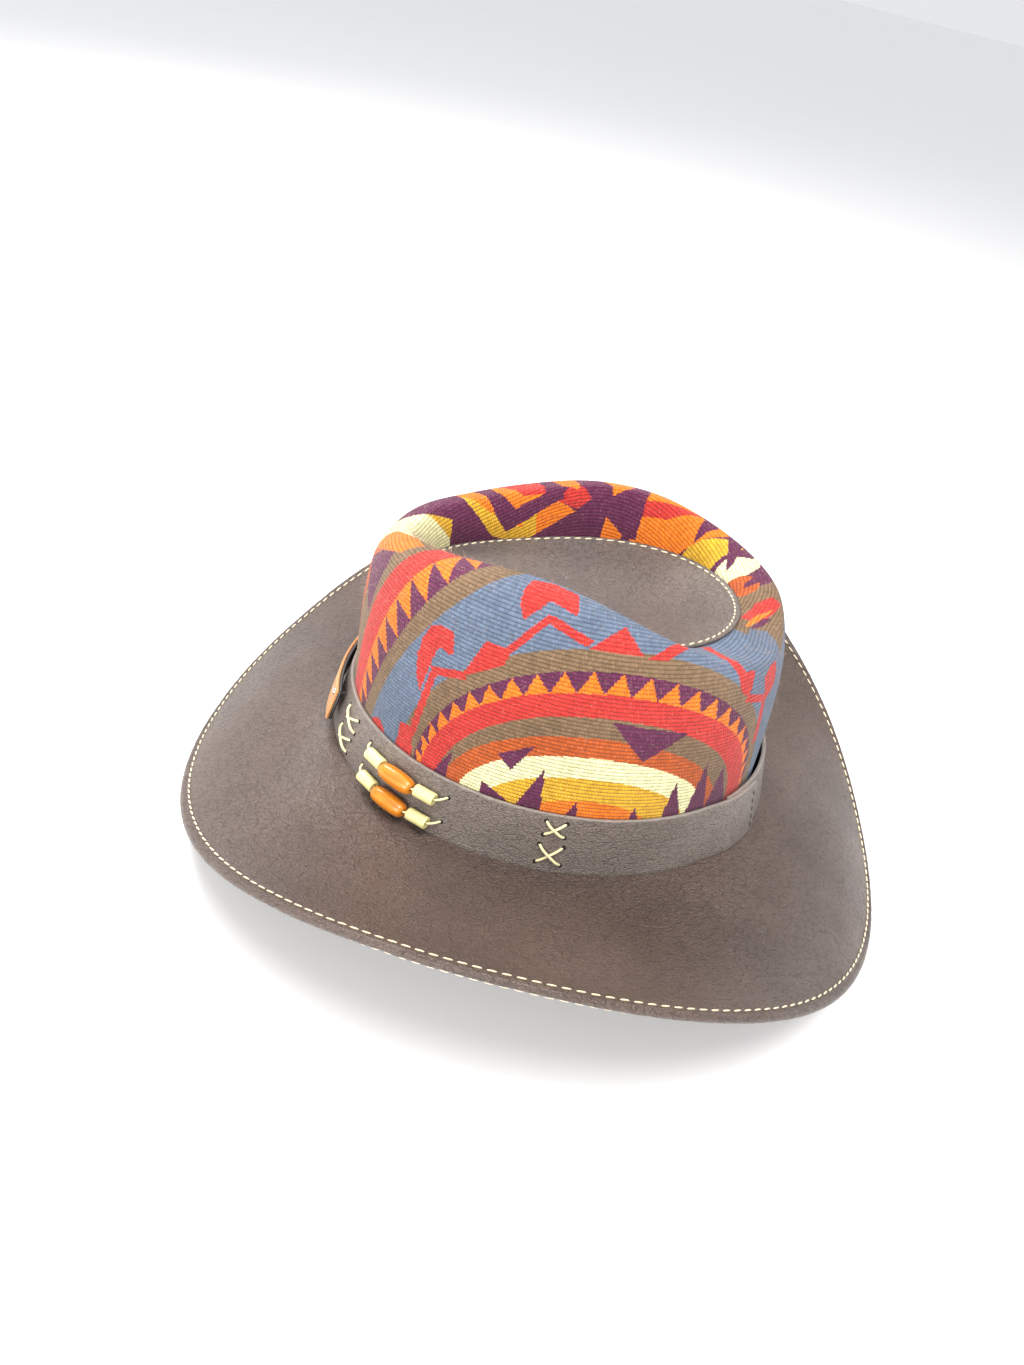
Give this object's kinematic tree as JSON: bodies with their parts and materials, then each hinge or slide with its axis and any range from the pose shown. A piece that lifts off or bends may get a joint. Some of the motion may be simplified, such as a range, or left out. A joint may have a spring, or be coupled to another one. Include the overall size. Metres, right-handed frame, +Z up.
{
  "type": "outback hat",
  "caption": "Wide curled-brim hat with stitched rolled edge, woven crown with sunken leather top, and a laced band with bead strings and a front plaque.",
  "frame": {"origin": "centre of the hat's outline on the surface it stands on", "axes": "+Z up, front of the hat towards -Y, wearer's left towards +X"},
  "size_m": [0.3768, 0.372, 0.1598],
  "materials": {
    "brim_leather": "smooth, lightly grained",
    "under_leather": "smooth",
    "board": "pressed board",
    "wire": "drawn wire",
    "cream_thread": "waxed thread",
    "dark_thread": "thread",
    "woven_fabric": "patterned weave",
    "interlining": "felted",
    "lining": "plain weave",
    "top_leather": "smooth, lightly grained",
    "sweat_leather": "smooth",
    "band_leather": "smooth, lightly grained",
    "lace": "waxed lace",
    "pale_bead": "polished",
    "wood_bead": "varnished",
    "plaque_tan": "smooth",
    "plaque_black": "smooth",
    "rivet": "polished"
  },
  "bodies": {
    "hat": {"brim_upper": "brim_leather", "brim_stiffener": "board", "brim_lower": "under_leather", "brim_wire": "wire", "brim_edge_stitching": "cream_thread", "crown_side": "woven_fabric", "crown_interlining": "interlining", "crown_lining": "lining", "lining_tip": "lining", "crown_top": "top_leather", "crown_top_stitching": "cream_thread", "sweatband": "sweat_leather", "sweatband_stitching": "dark_thread", "hat_band": "band_leather", "band_end_stitching": "dark_thread", "cross_left_front_upper": "lace", "cross_left_front_lower": "lace", "cross_left_rear_upper": "lace", "cross_left_rear_lower": "lace", "cross_right_front_upper": "lace", "cross_right_front_lower": "lace", "cross_right_rear_upper": "lace", "cross_right_rear_lower": "lace", "lace_left_upper": "lace", "lace_left_lower": "lace", "lace_right_upper": "lace", "lace_right_lower": "lace", "plaque_face": "plaque_tan", "plaque_backing": "plaque_black", "plaque_rivet_left": "rivet", "plaque_rivet_right": "rivet"},
    "tube_left_upper_front_body": {"tube_left_upper_front": "pale_bead"},
    "oval_left_upper_body": {"oval_left_upper": "wood_bead"},
    "tube_left_upper_rear_body": {"tube_left_upper_rear": "pale_bead"},
    "tube_left_lower_front_body": {"tube_left_lower_front": "pale_bead"},
    "oval_left_lower_body": {"oval_left_lower": "wood_bead"},
    "tube_left_lower_rear_body": {"tube_left_lower_rear": "pale_bead"},
    "tube_right_upper_front_body": {"tube_right_upper_front": "pale_bead"},
    "oval_right_upper_body": {"oval_right_upper": "wood_bead"},
    "tube_right_upper_rear_body": {"tube_right_upper_rear": "pale_bead"},
    "tube_right_lower_front_body": {"tube_right_lower_front": "pale_bead"},
    "oval_right_lower_body": {"oval_right_lower": "wood_bead"},
    "tube_right_lower_rear_body": {"tube_right_lower_rear": "pale_bead"}
  },
  "joints": [
    {"name": "tube_left_upper_front_spin", "type": "hinge", "parent": "hat", "child": "tube_left_upper_front_body", "pos_m": [0.06831, -0.07858, 0.0552], "axis": [0.59, 0.8071, 0.0221], "continuous": true},
    {"name": "oval_left_upper_spin", "type": "hinge", "parent": "hat", "child": "oval_left_upper_body", "pos_m": [0.07789, -0.06567, 0.05588], "axis": [0.4705, 0.882, 0.0242], "continuous": true},
    {"name": "tube_left_upper_rear_spin", "type": "hinge", "parent": "hat", "child": "tube_left_upper_rear_body", "pos_m": [0.08328, -0.05069, 0.05595], "axis": [0.3529, 0.9353, 0.0256], "continuous": true},
    {"name": "tube_left_lower_front_spin", "type": "hinge", "parent": "hat", "child": "tube_left_lower_front_body", "pos_m": [0.07075, -0.0808, 0.04223], "axis": [0.5927, 0.8052, 0.0214], "continuous": true},
    {"name": "oval_left_lower_spin", "type": "hinge", "parent": "hat", "child": "oval_left_lower_body", "pos_m": [0.08064, -0.06749, 0.04291], "axis": [0.4731, 0.8807, 0.0234], "continuous": true},
    {"name": "tube_left_lower_rear_spin", "type": "hinge", "parent": "hat", "child": "tube_left_lower_rear_body", "pos_m": [0.08627, -0.05209, 0.04297], "axis": [0.355, 0.9345, 0.0249], "continuous": true},
    {"name": "tube_right_upper_front_spin", "type": "hinge", "parent": "hat", "child": "tube_right_upper_front_body", "pos_m": [-0.06831, -0.07858, 0.0552], "axis": [-0.59, 0.8071, 0.0221], "continuous": true},
    {"name": "oval_right_upper_spin", "type": "hinge", "parent": "hat", "child": "oval_right_upper_body", "pos_m": [-0.07789, -0.06567, 0.05588], "axis": [-0.4705, 0.882, 0.0242], "continuous": true},
    {"name": "tube_right_upper_rear_spin", "type": "hinge", "parent": "hat", "child": "tube_right_upper_rear_body", "pos_m": [-0.08328, -0.05069, 0.05595], "axis": [-0.3529, 0.9353, 0.0256], "continuous": true},
    {"name": "tube_right_lower_front_spin", "type": "hinge", "parent": "hat", "child": "tube_right_lower_front_body", "pos_m": [-0.07075, -0.0808, 0.04223], "axis": [-0.5927, 0.8052, 0.0214], "continuous": true},
    {"name": "oval_right_lower_spin", "type": "hinge", "parent": "hat", "child": "oval_right_lower_body", "pos_m": [-0.08064, -0.06749, 0.04291], "axis": [-0.4731, 0.8807, 0.0234], "continuous": true},
    {"name": "tube_right_lower_rear_spin", "type": "hinge", "parent": "hat", "child": "tube_right_lower_rear_body", "pos_m": [-0.08627, -0.05209, 0.04297], "axis": [-0.355, 0.9345, 0.0249], "continuous": true}
  ]
}
